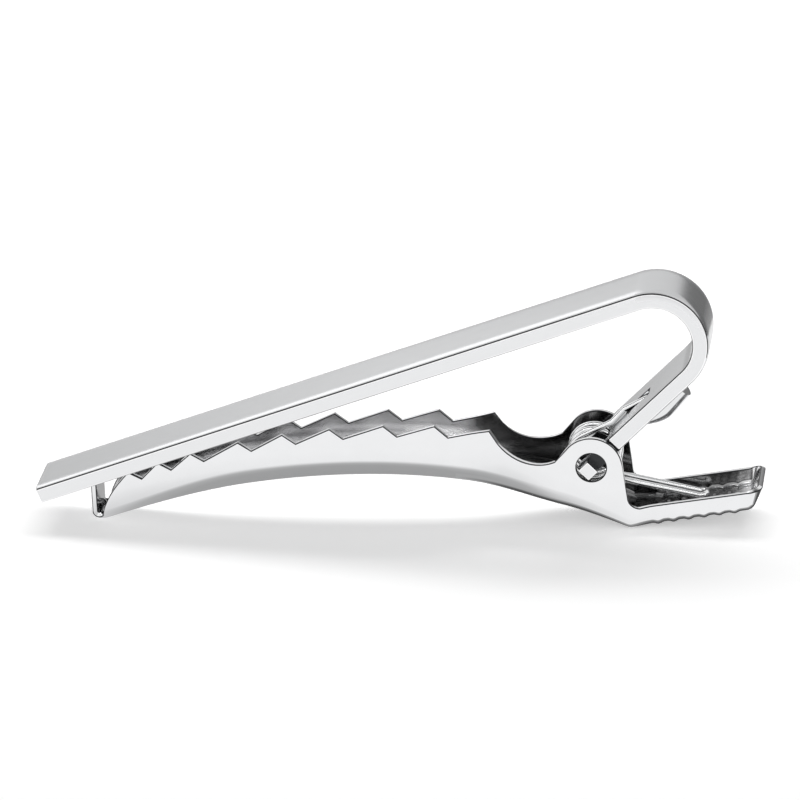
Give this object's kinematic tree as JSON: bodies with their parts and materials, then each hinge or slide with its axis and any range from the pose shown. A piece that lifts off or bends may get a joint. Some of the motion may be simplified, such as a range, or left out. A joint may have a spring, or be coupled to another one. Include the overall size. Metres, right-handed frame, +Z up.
{
  "type": "tie clip",
  "caption": "Pinch tie clip: a flat bar bent into a hairpin over a sprung jaw with saw teeth, pivot ears and a dished thumb tail.",
  "frame": {"origin": "bottom centre of the shut clip's box, on the surface that its jaw stands on", "axes": "+X from the bar's free end to the thumb tail, +Y across the clip, +Z up"},
  "size_m": [0.06, 0.0072, 0.0206],
  "materials": {
    "bar_metal": "satin brushed face with polished edges, rhodium-look plating",
    "jaw_metal": "polished plated sheet",
    "spring_wire": "bright spring wire"
  },
  "bodies": {
    "bar": {"front_bar": "bar_metal", "torsion_spring": "spring_wire"},
    "jaw": {"clip_jaw": "jaw_metal"}
  },
  "joints": [
    {"name": "jaw_pivot", "type": "hinge", "parent": "bar", "child": "jaw", "pos_m": [0.01615, 0, 0.00557], "axis": [0, -1, 0], "range_deg": [0, 45], "stiffness_Nm_per_rad": 0.03, "springref_deg": -34.38, "deforming": ["torsion_spring"]}
  ]
}
